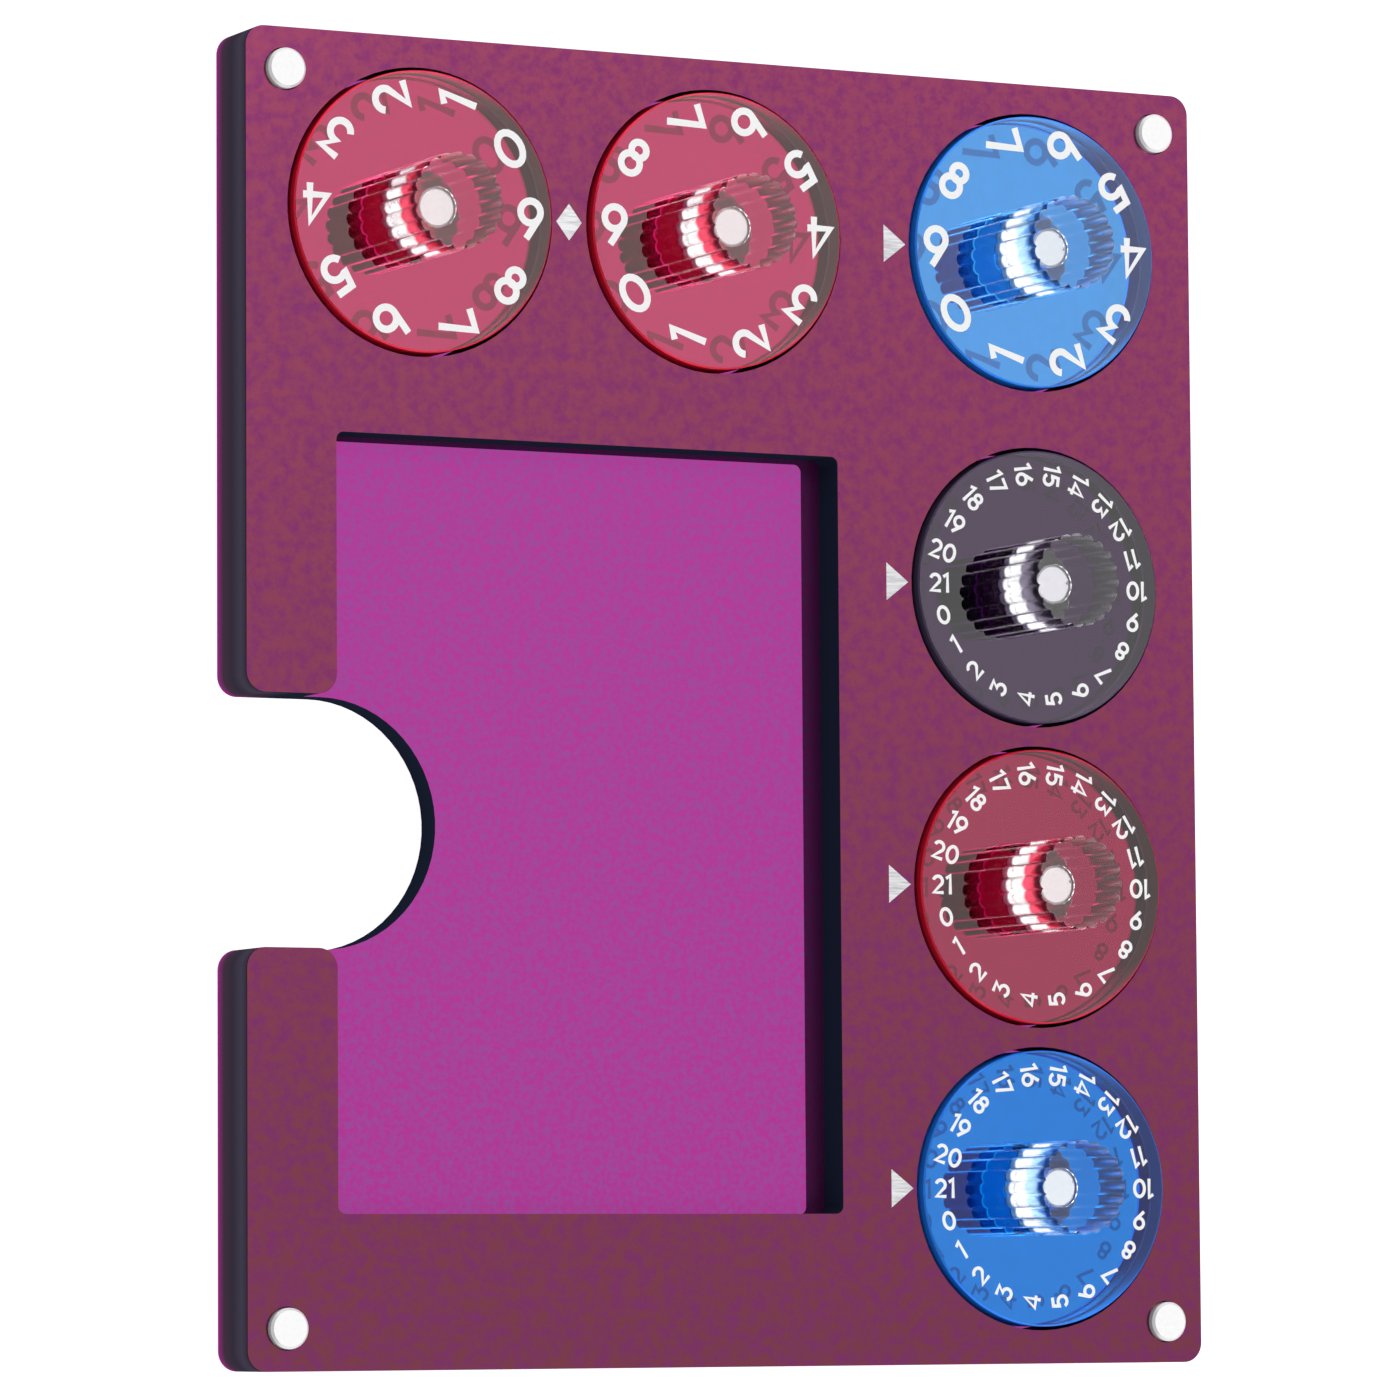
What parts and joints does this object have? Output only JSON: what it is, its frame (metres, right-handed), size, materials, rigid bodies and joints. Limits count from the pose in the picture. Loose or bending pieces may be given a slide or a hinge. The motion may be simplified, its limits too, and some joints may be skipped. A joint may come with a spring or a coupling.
{
  "type": "card game tray",
  "caption": "Layered clear tray with a recessed card well, a finger notch and numbered counter dials that turn by fluted knobs on metal pins.",
  "frame": {"origin": "centre of the underside, which is the bottom centre of the bounding box", "axes": "+Z out of the tray's face, +Y towards the edge with three dials, +X towards the side with the column of dials"},
  "size_m": [0.1334, 0.164, 0.02],
  "materials": {
    "tray_acrylic": "polished clear tinted sheet, purple",
    "red_acrylic": "polished clear tinted sheet, red",
    "blue_acrylic": "polished clear tinted sheet, blue",
    "grey_acrylic": "polished clear tinted sheet, smoke grey",
    "pin_metal": "polished",
    "washer_plastic": "natural",
    "white_print": "painted numerals",
    "silver_mark": "satin metallic paint in the engraving"
  },
  "bodies": {
    "tray": {"back_plate": "tray_acrylic", "middle_plate": "tray_acrylic", "front_plate": "tray_acrylic", "corner_pin_top_left": "pin_metal", "corner_pin_top_right": "pin_metal", "corner_pin_bottom_left": "pin_metal", "corner_pin_bottom_right": "pin_metal", "axle_pin_top_left": "pin_metal", "axle_pin_top_middle": "pin_metal", "axle_pin_top_right": "pin_metal", "axle_pin_upper_side": "pin_metal", "axle_pin_middle_side": "pin_metal", "axle_pin_lower_side": "pin_metal", "washer_top_left": "washer_plastic", "washer_top_middle": "washer_plastic", "washer_top_right": "washer_plastic", "washer_upper_side": "washer_plastic", "washer_middle_side": "washer_plastic", "washer_lower_side": "washer_plastic"},
    "counter_top_left": {"dial_top_left": "red_acrylic", "knob_top_left": "red_acrylic"},
    "counter_top_middle": {"dial_top_middle": "red_acrylic", "knob_top_middle": "red_acrylic"},
    "counter_top_right": {"dial_top_right": "blue_acrylic", "knob_top_right": "blue_acrylic"},
    "counter_upper_side": {"dial_upper_side": "grey_acrylic", "knob_upper_side": "grey_acrylic"},
    "counter_middle_side": {"dial_middle_side": "red_acrylic", "knob_middle_side": "red_acrylic"},
    "counter_lower_side": {"dial_lower_side": "blue_acrylic", "knob_lower_side": "blue_acrylic"}
  },
  "joints": [
    {"name": "turn_top_left", "type": "hinge", "parent": "tray", "child": "counter_top_left", "pos_m": [-0.04325, 0.0602, 0.0105], "axis": [0, 0, 1], "continuous": true},
    {"name": "turn_top_middle", "type": "hinge", "parent": "tray", "child": "counter_top_middle", "pos_m": [-0.00255, 0.0602, 0.0105], "axis": [0, 0, 1], "continuous": true},
    {"name": "turn_top_right", "type": "hinge", "parent": "tray", "child": "counter_top_right", "pos_m": [0.04325, 0.0602, 0.0105], "axis": [0, 0, 1], "continuous": true},
    {"name": "turn_upper_side", "type": "hinge", "parent": "tray", "child": "counter_upper_side", "pos_m": [0.04325, 0.017, 0.0105], "axis": [0, 0, 1], "continuous": true},
    {"name": "turn_middle_side", "type": "hinge", "parent": "tray", "child": "counter_middle_side", "pos_m": [0.04325, -0.0214, 0.0105], "axis": [0, 0, 1], "continuous": true},
    {"name": "turn_lower_side", "type": "hinge", "parent": "tray", "child": "counter_lower_side", "pos_m": [0.04325, -0.0598, 0.0105], "axis": [0, 0, 1], "continuous": true}
  ]
}
